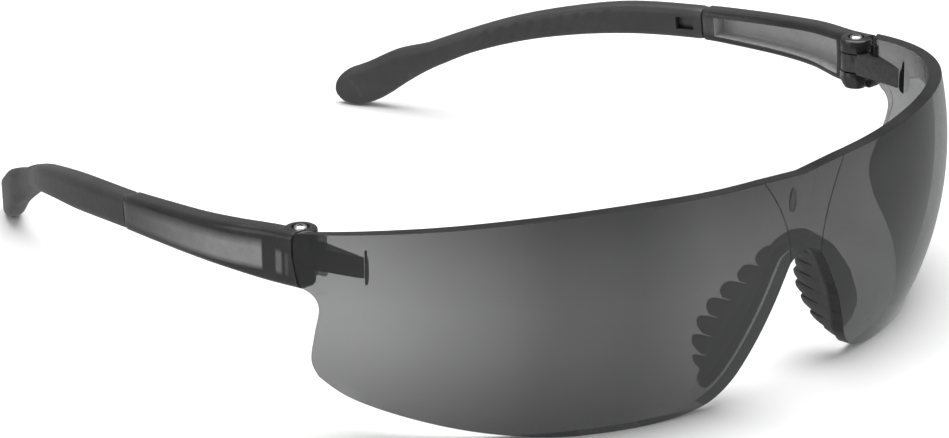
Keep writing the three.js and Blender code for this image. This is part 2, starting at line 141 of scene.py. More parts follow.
def smooth(obj, angle=35):
    obj.data.shade_smooth()
    obj.data.set_sharp_from_angle(angle=math.radians(angle))
    return obj


def loft_faces(rings, count):
    faces = []
    for r in range(rings - 1):
        for i in range(count):
            j = (i + 1) % count
            faces.append((r * count + i, r * count + j, (r + 1) * count + j, (r + 1) * count + i))
    faces.append(tuple(range(count - 1, -1, -1)))
    faces.append(tuple(range((rings - 1) * count, rings * count)))
    return faces


def loft(name, rings, materials=()):
    rings = np.array(rings, float)
    return make(name, rings.reshape(-1, 3), loft_faces(rings.shape[0], rings.shape[1]), materials)


def lathe(name, profile, centre, sides=48, materials=()):
    """Solid of revolution about an upright axis, from (radius, height) points."""
    angle = np.linspace(0, 2 * math.pi, sides, endpoint=False)
    rings = [np.stack([centre[0] + r * np.cos(angle), centre[1] + r * np.sin(angle), np.full(sides, z)], 1)
             for r, z in profile]
    return loft(name, rings, materials)


def prism(name, outline, bottom, top, materials=()):
    """Upright prism over an outline in plan."""
    rings = [[(x, y, z) for x, y in outline] for z in (bottom, top)]
    return loft(name, rings, materials)


def carve(obj, *steps):
    """Applies booleans to obj in turn and removes the tools. A step is ('UNION' or 'DIFFERENCE', tool)."""
    for operation, tool in steps:
        modifier = obj.modifiers.new("carve", "BOOLEAN")
        modifier.operation = operation
        modifier.object = tool
        modifier.solver = "EXACT"
        modifier.material_mode = "TRANSFER"
        apply_modifiers(obj)
        bpy.data.objects.remove(tool)
    return obj


def apply_modifiers(obj):
    bpy.context.view_layer.update()
    evaluated = obj.evaluated_get(bpy.context.evaluated_depsgraph_get())
    mesh = bpy.data.meshes.new_from_object(evaluated)
    obj.modifiers.clear()
    obj.data = mesh


def soften(obj, width, segments=3, angle=40, material=-1):
    """Rounds the sharp edges by a width in millimetres, in the material of that slot if one is given."""
    modifier = obj.modifiers.new("soften", "BEVEL")
    modifier.width = width * MM
    modifier.segments = segments
    modifier.limit_method = "ANGLE"
    modifier.angle_limit = math.radians(angle)
    modifier.use_clamp_overlap = True
    modifier.material = material
    apply_modifiers(obj)
    return smooth(obj, 30)


def mirror_of(obj, name):
    """The same piece on the other side."""
    mesh = obj.data.copy()
    mesh.transform(Matrix.Diagonal((-1, 1, 1, 1)))
    mesh.flip_normals()
    copy = bpy.data.objects.new(name, mesh)
    scene.collection.objects.link(copy)
    return copy


# ------------------------------------------------------------------ materials


class Nodes:
    """A material's node tree, with short names for what is added most."""

    def __init__(self, name):
        self.material = bpy.data.materials.new(name)
        self.material.use_nodes = True
        self.tree = self.material.node_tree
        self.tree.nodes.clear()
        self.output = self.add("ShaderNodeOutputMaterial")
        self.place = self.add("ShaderNodeTexCoord").outputs["Object"]

    def add(self, kind, inputs=None, **settings):
        node = self.tree.nodes.new(kind)
        for key, value in settings.items():
            setattr(node, key, value)
        for key, value in (inputs or {}).items():
            self.put(node.inputs[key], value)
        return node

    def put(self, socket, value):
        if isinstance(value, bpy.types.NodeSocket):
            self.tree.links.new(value, socket)
        else:
            socket.default_value = value

    def noise(self, scale, detail=3.0, roughness=0.5, stretch=None):
        where = self.place
        if stretch:
            where = self.add("ShaderNodeMapping", {"Vector": where, "Scale": stretch}).outputs[0]
        return self.add("ShaderNodeTexNoise", {"Vector": where, "Scale": scale, "Detail": detail,
                                               "Roughness": roughness}).outputs["Fac"]

    def span(self, value, low, high, out_low, out_high):
        return self.add("ShaderNodeMapRange", {"Value": value, "From Min": low, "From Max": high,
                                               "To Min": out_low, "To Max": out_high}).outputs[0]

    def math(self, operation, a, b=0.0, clamp=False):
        node = self.add("ShaderNodeMath", operation=operation, use_clamp=clamp)
        self.put(node.inputs[0], a)
        self.put(node.inputs[1], b)
        return node.outputs[0]

    def ramp(self, value, stops):
        node = self.add("ShaderNodeValToRGB", {"Fac": value})
        node.color_ramp.elements[0].position = stops[0][0]
        node.color_ramp.elements[0].color = (*stops[0][1], 1)
        node.color_ramp.elements[1].position = stops[-1][0]
        node.color_ramp.elements[1].color = (*stops[-1][1], 1)
        for at, colour in stops[1:-1]:
            node.color_ramp.elements.new(at).color = (*colour, 1)
        return node.outputs["Color"]

    def bump(self, height, distance, strength=1.0, normal=None):
        node = self.add("ShaderNodeBump", {"Height": height, "Distance": distance, "Strength": strength})
        if normal:
            self.put(node.inputs["Normal"], normal)
        return node.outputs[0]

    def worn_edges(self, low=0.52, high=0.6):
        """0 on flat ground and 1 on the sharpest outer edges, broken up by noise."""
        sharp = self.add("ShaderNodeNewGeometry").outputs["Pointiness"]
        edge = self.span(sharp, low, high, 0.0, 1.0)
        return self.math("MULTIPLY", edge, self.span(self.noise(900, 4), 0.35, 0.65, 0.2, 1.0), clamp=True)

    def finish(self, shader):
        self.tree.links.new(shader, self.output.inputs["Surface"])
        return self.material


def grey(value, warm=0.0):
    return (value * (1 + warm), value, value * (1 - warm))


def moulded(name, dark, light, roughness, grain, grain_depth, coat=0.0, edge=1.6, window=False):
    """Moulded plastic or rubber: mottled colour, fine grain, handled patches and rubbed edges. With window
    set, a lighter grey is painted over the arm's thin wall as a glow standing in for light shining through
    it.
    """
    n = Nodes(name)
    mottle = n.noise(140, 5, 0.6)
    base = n.ramp(mottle, [(0.3, grey(dark)), (0.5, grey((dark + light) / 2)), (0.72, grey(light))])
    worn = n.worn_edges()
    colour = n.add("ShaderNodeMix", {"Factor": n.math("MULTIPLY", worn, 0.5), "A": base,
                                     "B": (*grey(light * edge), 1)}, data_type="RGBA")
    if window:
        # Painted light: a lighter grey where light would shine through the thin wall.
        painted_glow_colour = n.ramp(n.noise(420, 5, 0.7), [(0.3, grey(0.18)), (0.7, grey(0.23))])
        colour = n.add("ShaderNodeMix", {"Factor": painted_backlight_mask(n), "A": colour.outputs["Result"], "B": painted_glow_colour},
                       data_type="RGBA")
    handled = n.span(n.noise(45, 3), 0.35, 0.7, -0.06, 0.08)
    fine = n.span(n.noise(grain, 2), 0.2, 0.8, -0.03, 0.03)
    rough = n.math("ADD", n.math("ADD", roughness, handled), fine)
    rough = n.math("SUBTRACT", rough, n.math("MULTIPLY", worn, 0.08), clamp=True)
    bumped = n.bump(n.noise(grain, 3, 0.6), grain_depth)
    shader = n.add("ShaderNodeBsdfPrincipled", {"Base Color": colour.outputs["Result"], "Roughness": rough,
                                                "Normal": bumped, "IOR": 1.5, "Specular IOR Level": 0.35,
                                                "Coat Weight": coat,
                                                "Coat Roughness": 0.12})
    return n.finish(shader.outputs[0])


def painted_backlight_mask(n):
    """Up to 1 where a glow is painted on the arm's thin outer wall, standing in for light shining through it:
    a window over the pocket and two slots ahead of it.
    """
    place = n.add("ShaderNodeSeparateXYZ", {"Vector": n.place})
    along = n.math("DIVIDE", n.math("SUBTRACT", place.outputs["Y"], HINGE_Y * MM), MM)
    centre = n.span(along, 4.5, 37.0, 29.6, 27.7)
    rise = n.math("SUBTRACT", n.math("DIVIDE", place.outputs["Z"], MM), centre)
    half = n.span(along, 4.5, 37.0, 2.5, 2.1)
    top = n.span(n.math("SUBTRACT", half, rise), -0.5, 1.3, 0.0, 1.0)
    bottom = n.span(n.math("ADD", half, rise), -0.2, 0.8, 0.0, 1.0)
    front = n.span(along, 4.55, 4.85, 0.0, 1.0)
    rear = n.span(along, 14.0, 37.5, 1.0, 0.2)
    window = n.math("MULTIPLY", n.math("MULTIPLY", top, bottom), n.math("MULTIPLY", front, rear))
    slots = []
    for low, high, strength in ((0.4, 1.7, 0.5), (-1.1, -0.4, 0.18)):
        rising = n.span(along, low - 0.2, low + 0.2, 0.0, strength)
        falling = n.span(along, high - 0.2, high + 0.2, 1.0, 0.0)
        slots.append(n.math("MULTIPLY", rising, falling))
    tall = n.span(n.math("ABSOLUTE", n.math("ADD", rise, 0.3)), 1.5, 2.3, 1.0, 0.0)
    return n.math("ADD", window, n.math("MULTIPLY", n.math("ADD", slots[0], slots[1]), tall), clamp=True)


def lens_surface():
    """Polished tinted surface: gloss that grows towards grazing angles over a see-through smoke tint.
    The tint is painted densest halfway between nose and temples, thinnest at the temples, and a little denser
    towards the upper and lower edges: painted shade and light standing in for the surround seen through the
    lens."""
    n = Nodes("lens_smoke_and_painted_shade")
    place = n.add("ShaderNodeSeparateXYZ", {"Vector": n.place})
    side = n.span(n.math("ABSOLUTE", place.outputs["X"]), 0.0, 0.072, 0.0, 1.0)
    # Smoke tint with painted shade and light across the lens, standing in for the surround seen through it.
    smoke_and_painted_shade = n.ramp(side, [(0.0, grey(0.275)), (0.3, grey(0.285)), (0.48, grey(0.22)), (0.66, grey(0.245)),
                         (0.82, grey(0.36)), (0.94, grey(0.465))])
    # Painted shade: darker towards the upper and lower edges.
    height = n.math("ABSOLUTE", n.math("SUBTRACT", place.outputs["Z"], 0.021))
    fade = n.math("MULTIPLY", n.span(height, 0.003, 0.021, 1.0, 0.8),
                  n.span(n.noise(28, 3), 0.3, 0.7, 0.98, 1.02))
    shaded = n.add("ShaderNodeMix", {"Factor": 1.0, "A": smoke_and_painted_shade, "B": fade}, data_type="RGBA",
                   blend_type="MULTIPLY")
    clear = n.add("ShaderNodeBsdfTransparent", {"Color": shaded.outputs["Result"]})
    return n.finish(polished(n, clear))


def polished(n, under, low=0.02, high=0.06):
    """Gloss with faint smudges over another shader, growing towards grazing angles."""
    smudge = n.span(n.noise(55, 5, 0.6), 0.45, 0.75, low, high)
    gloss = n.add("ShaderNodeBsdfGlossy", {"Color": (0.93, 0.94, 0.95, 1), "Roughness": smudge})
    facing = n.add("ShaderNodeLayerWeight", {"Blend": 0.5}).outputs["Facing"]
    fresnel = n.math("ADD", n.math("MULTIPLY", n.math("POWER", facing, 5.0), 0.7), 0.05, clamp=True)
    both = n.add("ShaderNodeMixShader", {"Fac": fresnel, 1: under.outputs[0], 2: gloss.outputs[0]})
    return both.outputs[0]


def lens_rim():
    """Polished edge of the lens along the brow and round the nose, dark with the full depth of the tint."""
    n = Nodes("lens_rim")
    streak = n.noise(90, 3, 0.5, stretch=(1, 1, 6))
    surface = n.add("ShaderNodeBsdfPrincipled", {
        "Base Color": n.ramp(streak, [(0.3, grey(0.02)), (0.7, grey(0.035))]), "IOR": 1.3,
        "Roughness": n.span(streak, 0.3, 0.7, 0.25, 0.4), "Specular IOR Level": 0.3})
    clear = n.add("ShaderNodeBsdfTransparent", {"Color": (0.08, 0.08, 0.085, 1)})
    both = n.add("ShaderNodeMixShader", {"Fac": n.span(streak, 0.3, 0.7, 0.65, 0.8),
                                         1: clear.outputs[0], 2: surface.outputs[0]})
    return n.finish(both.outputs[0])


def gate_surface():
    """Scuffed, lightly tinted skin of the moulding mark on the bridge."""
    n = Nodes("lens_gate")
    clear = n.add("ShaderNodeBsdfTransparent", {"Color": n.ramp(n.noise(400, 3), [(0.3, grey(0.52)),
                                                                                  (0.7, grey(0.6))])})
    return n.finish(polished(n, clear, 0.08, 0.15))


def lens_line(name, low, high):
    """Rounded corner or crease of the lens, where light has to cross a lot of tinted plastic."""
    n = Nodes(name)
    streak = n.noise(90, 3, 0.5, stretch=(1, 1, 6))
    base = n.ramp(streak, [(0.3, grey(0.01)), (0.7, grey(0.02))])
    surface = n.add("ShaderNodeBsdfPrincipled", {
        "Base Color": base, "Roughness": n.span(streak, 0.3, 0.7, 0.3, 0.42), "IOR": 1.4,
        "Specular IOR Level": 0.25, "Normal": n.bump(streak, 0.00002)})
    clear = n.add("ShaderNodeBsdfTransparent", {"Color": (0.3, 0.3, 0.31, 1)})
    both = n.add("ShaderNodeMixShader", {"Fac": n.span(streak, 0.3, 0.7, low, high),
                                         1: clear.outputs[0], 2: surface.outputs[0]})
    return n.finish(both.outputs[0])


def screw_metal():
    """Plated steel with turning marks and a few scratches."""
    n = Nodes("screw_steel")
    marks = n.noise(2500, 2, 0.5, stretch=(1, 1, 0.1))
    base = n.ramp(marks, [(0.3, (0.55, 0.55, 0.56)), (0.7, (0.78, 0.78, 0.79))])
    shader = n.add("ShaderNodeBsdfPrincipled", {
        "Base Color": base, "Metallic": 1.0, "Roughness": n.span(n.noise(700, 4), 0.3, 0.7, 0.14, 0.3),
        "Normal": n.bump(marks, 0.00001)})
    return n.finish(shader.outputs[0])


LENS = lens_surface()
RIM = lens_rim()
GATE = gate_surface()
LINE = lens_line("lens_line", 0.82, 0.9)
CREASE = lens_line("lens_crease", 0.8, 0.95)
NOSE_RUBBER = moulded("nose_rubber", 0.024, 0.036, 0.5, 2200, 0.000015)
TIP_RUBBER = moulded("tip_rubber", 0.032, 0.044, 0.4, 1300, 0.00005)
# window=True paints a glow on the thin wall over the pocket, standing in for light shining through it.
ARM = moulded("arm_smoke", 0.014, 0.024, 0.26, 900, 0.00002, coat=0.15, window=True)
# Lighter copy of the arm plastic for the pocket's faces: painted light standing in for light through the thin
# wall.
ARM_PAINTED_BACKLIGHT = moulded("arm_smoke_painted_backlight", 0.3, 0.36, 0.3, 1500, 0.00002)
END_PLASTIC = moulded("end_smoke", 0.028, 0.042, 0.26, 1000, 0.00002, coat=0.15)
# Near-black material for the ring in the joint gap: painted shadow.
SEAM_SHADOW = moulded("seam_shadow", 0.002, 0.004, 0.8, 1300, 0.00003)
STEEL = screw_metal()

# ------------------------------------------------------------------ lens


def reach(radius, z):
    return np.sqrt(radius**2 - (z - CENTRE[2]) ** 2)


def crease(z):
    """Half width of the flat bridge panel at a height. The creases spread towards the top."""
    return PANEL_HALF + PANEL_SPREAD * np.clip((z - PANEL_FOOT) / PANEL_HEIGHT, 0, 1) ** 2


def lens_front(turn, z):
    r = reach(RADIUS, z)
    x = np.maximum(CENTRE[0] + r * np.sin(np.radians(turn)), 0)
    from_centre = np.maximum(x, crease(z)) - CENTRE[0]
    return np.stack([x, CENTRE[1] - np.sqrt(r**2 - from_centre**2), z], -1)


def lens_back(turn, z, depth=0.0):
    inward = reach(RADIUS, z) - reach(RADIUS - THICKNESS, z) + depth
    facing = np.radians(np.maximum(turn, 0))
    offset = np.stack([-np.sin(facing), np.cos(facing), np.zeros_like(facing)], -1)
    return lens_front(turn, z) + offset * np.asarray(inward)[..., None]


def lens_patch(s, t):
    """Turn and height at shares s along and t up the left half, blended from its four edges."""
    lower, upper = arc_table(REAR_LOWER)[1][-1], arc_table(REAR_UPPER)[1][-1]
    split = lower / (lower + upper)
    rear = np.where((t < split)[:, None], by_share(REAR_LOWER, np.minimum(t / split, 1)),
                    by_share(REAR_UPPER, np.clip((t - split) / (1 - split), 0, 1)))
    t_, s_ = t[:, None], s[:, None]
    between = by_share(BOTTOM, s) * (1 - t_) + by_share(TOP, s) * t_
    c0, c1, c2, c3 = (np.array(c, float) for c in (BOTTOM[0], BOTTOM[-1], TOP[0], TOP[-1]))
    along = (c0 * (1 - t_) + c2 * t_) * (1 - s_) + rear * s_
    corners = (c0 * (1 - s_) + c1 * s_) * (1 - t_) + (c2 * (1 - s_) + c3 * s_) * t_
    point = between + along - corners
    point[:, 1] = np.maximum(point[:, 1], 0)
    return point


def crease_share(t):
    """Share along each row at which the row crosses the crease."""
    low, high = np.full_like(t, 0.005), np.full_like(t, 0.4)
    for _ in range(30):
        middle = (low + high) / 2
        point = lens_patch(middle, t)
        x = CENTRE[0] + reach(RADIUS, point[:, 1]) * np.sin(np.radians(point[:, 0]))
        inside = x < crease(point[:, 1])
        low, high = np.where(inside, middle, low), np.where(inside, high, middle)
    return (low + high) / 2


PANEL_COLUMNS, COLUMNS, ROWS = 12, 131, 46
CREASE_SHARE = 0.0015


def lens_points():
    """Front and back grids of the left half. The strip after column PANEL_COLUMNS is the crease."""
    t = np.linspace(0, 1, ROWS + 1)
    t = t - 0.035 * np.sin(2 * math.pi * t)
    at_crease = crease_share(t)
    front, back = [], []
    for c in range(COLUMNS + 1):
        if c < PANEL_COLUMNS:
            s = at_crease * c / PANEL_COLUMNS
        elif c <= PANEL_COLUMNS + 1:
            s = at_crease + (-CREASE_SHARE, CREASE_SHARE)[c - PANEL_COLUMNS]
        else:
            s = at_crease + (1 - at_crease) * (c - PANEL_COLUMNS - 1) / (COLUMNS - PANEL_COLUMNS - 1)
        point = lens_patch(s, t)
        front.append(lens_front(point[:, 0], point[:, 1]))
        bevel = 1.8 * s**6
        back.append(lens_back(point[:, 0] - bevel, point[:, 1]))
    front, back = np.array(front), np.array(back)
    front[0, :, 0] = back[0, :, 0] = 0
    return front, back


def build_lens():
    front, back = lens_points()
    columns = 2 * COLUMNS + 1

    def whole(half):
        mirrored = half[:0:-1] * (-1, 1, 1)
        return np.concatenate([mirrored, half])

    points = np.concatenate([whole(front).reshape(-1, 3), whole(back).reshape(-1, 3)])
    rows, size = ROWS + 1, columns * (ROWS + 1)
    faces, rim_faces = [], []
    for c in range(columns - 1):
        for r in range(ROWS):
            p, q, u, v = c * rows + r, (c + 1) * rows + r, (c + 1) * rows + r + 1, c * rows + r + 1
            faces.append((p, q, u, v))
            faces.append((size + p, size + v, size + u, size + q))
    rim = [c * rows for c in range(columns)]
    rim += [(columns - 1) * rows + r for r in range(1, rows)]
    rim += [c * rows + rows - 1 for c in range(columns - 2, -1, -1)]
    rim += [r for r in range(rows - 2, 0, -1)]
    for i, p in enumerate(rim):
        q = rim[(i + 1) % len(rim)]
        rim_faces.append((p, size + p, size + q, q))
    lens = make("lens_shell", points, faces + rim_faces, [LENS, RIM, LINE, CREASE])
    for polygon in lens.data.polygons:
        strip = polygon.index // (2 * ROWS)
        creased = strip in (COLUMNS - PANEL_COLUMNS - 1, COLUMNS + PANEL_COLUMNS) and polygon.index % 2 == 0
        top = polygon.index >= len(faces) and (polygon.normal.z > 0.6 or in_arch(polygon.center / MM))
        polygon.material_index = 3 if creased and polygon.index < len(faces) else int(top)
    soften(lens, 0.2, 2, 50, material=2)
    for polygon in lens.data.polygons:
        if polygon.material_index == 2 and not shows_line(polygon.center / MM):
            polygon.material_index = int(in_arch(polygon.center / MM))
    return smooth(lens, 8)


def in_arch(at):
    """True around the nose opening."""
    return abs(at[0]) < 20 and 1.2 < at[2] < 28


def shows_line(at):
    """True on the front corner of the edge all round, and on the rear corner along the top only."""
    x, y, z = at[0], at[1] - HINGE_Y, at[2]
    sphere = math.hypot(abs(x) - CENTRE[0], y - CENTRE[1], z - CENTRE[2])
    return sphere > RADIUS - THICKNESS / 2 or z > 33.5


lens = build_lens()
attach(lens, "front")
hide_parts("lens")


def build_gate_mark():
    """Shallow oval ring on the front of the bridge panel, where the lens was moulded."""
    rings = []
    for wide, tall, proud in ((0.85, 2.1, -0.1), (0.83, 2.08, 0.1), (0.72, 1.95, 0.16), (0.6, 1.8, 0.12),
                              (0.5, 1.7, 0.03)):
        ring = []
        for a in np.linspace(0, 2 * math.pi, 28, endpoint=False):
            x, z = -3.3 + wide * math.cos(a) + 0.12 * tall * math.sin(a), 35.2 + tall * math.sin(a)
            turn = np.degrees(np.arcsin((-x - CENTRE[0]) / reach(RADIUS, z)))
            front = lens_front(np.array(turn), np.array(z))
            ring.append((x, front[1] - proud, z))
        rings.append(ring)
    return smooth(loft("gate_mark", rings, [GATE]), 30)


gate_mark = build_gate_mark()
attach(gate_mark, "front")

# ------------------------------------------------------------------ nose piece
EDGE_SPINE = [(p[0], z) for p, z in ((lens_front(np.array(turn, float), np.array(z, float)), z)
                                     for turn, z in BOTTOM[:7])]
FINGERS, FIRST, LAST, NOSE_END = 7, 2.6, 26.4, 28.6
FLANGE = [(0, 1.0), (4, 2.9), (8, 4.4), (15, 6.0), (22, 6.6), (26, 6.3), (28.6, 4.6)]
PAD = [(0, 1.8), (3.2, 3.3), (6.6, 5.3), (10.8, 7.8), (13.7, 9.1), (17.5, 9.4), (21.6, 8.1), (24.6, 5.6),
       (28.6, 1.6)]
# Share of a finger's pitch, and how far its rear edge is cut back there: a thin slit, a square
# shoulder, then a rounded lower side.
FINGER = [(0.0, 3.6), (0.02, 3.6), (0.04, 1.7), (0.09, 0.5), (0.16, 0.1), (0.24, 0.0), (0.42, 0.05),
          (0.58, 0.25), (0.72, 0.62), (0.84, 1.15), (0.93, 1.65), (0.975, 1.95), (0.985, 3.6)]


def nose_section(distance, bite):
    dense, length = arc_table(EDGE_SPINE)
    at = np.array([np.interp(distance, length, dense[:, k]) for k in (0, 1)])
    ahead = np.array([np.interp(distance + 0.05, length, dense[:, k]) for k in (0, 1)])
    direction = (ahead - at) / np.linalg.norm(ahead - at)
    outward = np.array([0, 1.0]) if distance == 0 else np.array([-direction[1], direction[0]])
    width = np.interp(distance, *zip(*FLANGE))
    depth = np.interp(distance, *zip(*PAD)) - bite
    lean = 0.14 * depth
    inset, flange, pad = np.interp(distance, [0, 3, 6], [-0.5, -0.2, 0.15]), 1.3, 1.8
    width += np.interp(distance, [0, 4], [1.4, 0])
    outline = [(inset + 0.3, 0, 0), (inset + width * 0.5, 0, 0), (inset + width - 0.25, 0, 0),
               (inset + width, 0.3, 0), (inset + width - 0.2, flange * 0.7, 0),
               (inset + width - 0.7, flange * 0.9, 0), (inset + pad + 1.2, flange, 0),
               (inset + pad + 0.35, flange + 0.35, 0.1 * lean), (inset + pad, flange + 0.9, 0.2 * lean),
               (inset + pad, depth * 0.7, 0.6 * lean), (inset + pad, depth - 0.55, 0.93 * lean),
               (inset + pad * 0.85, depth - 0.15, lean), (inset + pad * 0.5, depth, lean),
               (inset + pad * 0.15, depth - 0.15, lean), (inset, depth - 0.55, 0.93 * lean),
               (inset, depth * 0.6, 0.4 * lean), (inset, 0.35, 0)]
    ring = []
    for out, back, side in outline:
        x, z = at + outward * out
        turn = np.degrees(np.arcsin((x - CENTRE[0]) / reach(RADIUS, z)))
        seat = lens_back(np.array(turn), np.array(z), 0.3)
        ring.append((x + side, seat[1] + back, z))
    return ring


def build_nose_piece():
    pitch = (LAST - FIRST) / FINGERS
    stations = [(0.0, 0.0), (0.9, 0.0), (1.8, 0.0)]
    for finger in range(FINGERS):
        stations += [(FIRST + (finger + share) * pitch, bite * (0.4 if finger == 0 and share < 0.1 else 1))
                     for share, bite in FINGER]
    stations += [(LAST, 0.6), (LAST + 0.5, 0.1), (NOSE_END - 0.8, 0.0), (NOSE_END, 0.3)]
    left = []
    for distance, bite in stations:
        room = np.interp(distance, *zip(*PAD)) - 1.7
        left.append(nose_section(distance, min(bite, max(room, 0))))
    left = np.array(left)
    right = left[:0:-1] * (-1, 1, 1)
    piece = loft("nose_pads", np.concatenate([right, left]), [NOSE_RUBBER])
    return smooth(piece, 38)


nose = build_nose_piece()
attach(nose, "front")
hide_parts("nose_piece")

# ------------------------------------------------------------------ end pieces
KNUCKLE_TOP, KNUCKLE_BOTTOM, EAR_TOP, EAR_BOTTOM = 31.9, 28.6, 34.7, 24.6
EAR_RADIUS, KNUCKLE_RADIUS, HOLE_RADIUS, GAP = 2.85, 2.7, 1.0, 0.3


def plan_point(turn, radius):
    angle = math.radians(turn)
    return (CENTRE[0] + radius * math.sin(angle), CENTRE[1] - radius * math.cos(angle))


def drum(name, radius, bottom, top, materials=(), sides=64):
    return lathe(name, [(radius, bottom), (radius, top)], (HINGE_X, 0), sides, materials)


def build_end_piece():
    """Knuckle and wedge-shaped bar that reaches forward inside the lens and narrows a little."""
    seat = float(reach(RADIUS - THICKNESS, 34.3)) - 0.3
    outer = [plan_point(a, seat) for a in np.linspace(67.8, 76, 9)]
    bar = prism("left_hinge_bar", outer + [(HINGE_X, -1.35), (HINGE_X - 2.16, 0), (65.5, outer[0][1] - 0.9)],
                28.3, 32.3, [END_PLASTIC])
    for corner in bar.data.vertices:
        ahead = min(max((HINGE_Y * MM - corner.co.y) / MM - 3, 0) / 10, 1)
        corner.co.z += (0.1 if corner.co.z < 30 * MM else -0.25) * ahead * MM
    knuckle = drum("knuckle", KNUCKLE_RADIUS, KNUCKLE_BOTTOM, KNUCKLE_TOP, [END_PLASTIC])
    rooms = [drum("room", EAR_RADIUS + GAP, KNUCKLE_TOP, EAR_TOP, [END_PLASTIC]),
             drum("room", EAR_RADIUS + GAP, EAR_BOTTOM, KNUCKLE_BOTTOM, [END_PLASTIC]),
             drum("room", HOLE_RADIUS, EAR_BOTTOM, EAR_TOP, [END_PLASTIC], 32)]
    carve(bar, ("UNION", knuckle), *[("DIFFERENCE", r) for r in rooms])
    return soften(bar, 0.16, 2)


def build_plate():
    """Moulded plate that joins the bar to the lens."""
    seat = float(reach(RADIUS - THICKNESS, 34.3)) - 0.45
    outer = [plan_point(a, seat) for a in np.linspace(74.1, 75.8, 4)]
    inner = [plan_point(a, seat - 0.9) for a in np.linspace(75.8, 74.1, 4)]
    plate = prism("left_hinge_plate", outer + inner, 27.4, 34.3, [LENS])
    return soften(plate, 0.12, 2)


def build_end_wall():
    """Low thin wall moulded on the lens just ahead of the bar, drawn out to a point at the top."""
    seat = float(reach(RADIUS - THICKNESS, 31)) - 0.02
    rings = []
    for z in np.linspace(27.6, 33.6, 17):
        inner = seat - 0.25 - np.interp(z, [27.6, 28.1, 29, 31.6, 32.4, 33.6], [0.0, 0.5, 0.7, 0.6, 0.2, 0.0])
        rings.append([(*plan_point(66.4, seat), z), (*plan_point(65.95, seat), z),
                      (*plan_point(66.0, inner + 0.15), z), (*plan_point(66.17, inner), z),
                      (*plan_point(66.35, inner + 0.15), z)])
    return smooth(loft("left_end_wall", rings, [RIM]), 40)


left_bar = build_end_piece()
left_plate = build_plate()
left_wall = build_end_wall()

# ------------------------------------------------------------------ temples
CENTRE_LINE = [s[:3] for s in TEMPLE]
SIZES = [(s[4], s[3], 0) for s in TEMPLE]


def param_at_y(y):
    t = np.linspace(0, 1, 4000)
    return float(np.interp(y, centripetal(CENTRE_LINE, t)[:, 1], t))


def section(width, height, corner, steps=6, splits=0):
    """Rounded rectangle as (across, up) points from its lower outer corner.
    Splits are extra points up its sides."""
    radius = min(corner, width / 2 - 0.05, height / 2 - 0.05)
    points = []
    for sx, sy, start in ((1, -1, -90), (1, 1, 0), (-1, 1, 90), (-1, -1, 180)):
        for i in range(steps + 1):
            angle = math.radians(start + 90 * i / steps)
            points.append((sx * (width / 2 - radius) + radius * math.cos(angle),
                           sy * (height / 2 - radius) + radius * math.sin(angle)))
        if start in (-90, 90):
            straight = sy * (height / 2 - radius)
            points += [(sx * width / 2, straight * (1 - 2 * k / (splits + 1))) for k in range(1, splits + 1)]
    return points


def path_frame(param):
    here = centripetal(CENTRE_LINE, [param])[0]
    ends = centripetal(CENTRE_LINE, [max(param - 1e-4, 0), min(param + 1e-4, 1)])
    forward = (ends[1] - ends[0]) / np.linalg.norm(ends[1] - ends[0])
    across = np.array([forward[1], -forward[0], 0])
    across /= np.linalg.norm(across)
    return here, across, np.cross(across, forward)


def ring_at(param, outline, shift=0.0):
    here, across, up = path_frame(param)
    return [here + across * (side + shift) + up * rise for side, rise in outline]


def size_at(param):
    width, height, _ = centripetal(SIZES, [param])[0]
    return width, height


def swept(name, from_y, to_y, steps, shape, materials=()):
    params = np.linspace(param_at_y(from_y), param_at_y(to_y), steps + 1)
    return loft(name, [shape(p) for p in params], materials)


POCKET_FRONT, POCKET_REAR, PART_Y, RIM_WIDTH, WALL = 4.5, 37.0, 40.0, 1.4, 1.3


def build_arm():
    """Smoke plastic arm: an inner pocket leaves a thin outer wall between two thick rims. The pocket's faces
    are a lighter copy of the arm plastic: painted light standing in for light through the thin wall.
    """
    body = swept("left_arm_shell", -4.5, PART_Y - 0.35, 60,
                 lambda p: ring_at(p, section(*size_at(p), 1.2, 6, 9)), [ARM, ARM_PAINTED_BACKLIGHT])
    trim = [(-12, 20), (-12, 40), (-1.8, 40), (-1.8, 31), (-3.2, 25.5), (-3.2, 20)]
    front = loft("front_trim", [[(x, y, z) for y, z in trim] for x in (60, 80)], [ARM])
    # The pocket gives its faces the painted backlight material.
    pocket = swept("pocket", POCKET_FRONT, POCKET_REAR, 36,
                   lambda p: ring_at(p, section(size_at(p)[0], size_at(p)[1] - 2 * RIM_WIDTH, 0.6), -WALL),
                   [ARM_PAINTED_BACKLIGHT])
    top_ear = lathe("ear", [(EAR_RADIUS, KNUCKLE_TOP + GAP), (EAR_RADIUS, 34.2), (2.74, 34.45), (2.5, 34.6),
                            (2.2, 34.68), (2.05, EAR_TOP)], (HINGE_X, 0), 64, [ARM])
    low_ear = lathe("ear", [(1.6, 25.1), (2.0, 25.15), (2.1, 25.6), (2.35, 25.7), (2.42, 26.2), (2.65, 26.3),
                            (2.7, 26.85), (EAR_RADIUS, 26.95), (EAR_RADIUS, KNUCKLE_BOTTOM - GAP)],
                    (HINGE_X, 0), 64, [ARM])
    room = drum("room", KNUCKLE_RADIUS + GAP, KNUCKLE_BOTTOM - GAP, KNUCKLE_TOP + GAP, [ARM])
    hole = drum("hole", HOLE_RADIUS, 23, 36, [ARM], 32)
    recess = lathe("recess", [(1.5, 33.8), (1.62, 35.5)], (HINGE_X, 0), 40, [ARM])
    tongue = swept("tongue", POCKET_REAR, 58, 16, lambda p: ring_at(p, section(2.0, 2.9, 0.5, 3)), [ARM])
    carve(body, ("DIFFERENCE", front), ("UNION", top_ear), ("UNION", low_ear), ("UNION", tongue),
          ("DIFFERENCE", pocket), ("DIFFERENCE", room), ("DIFFERENCE", hole), ("DIFFERENCE", recess))
    soften(body, 0.18, 2, 45)
    return body


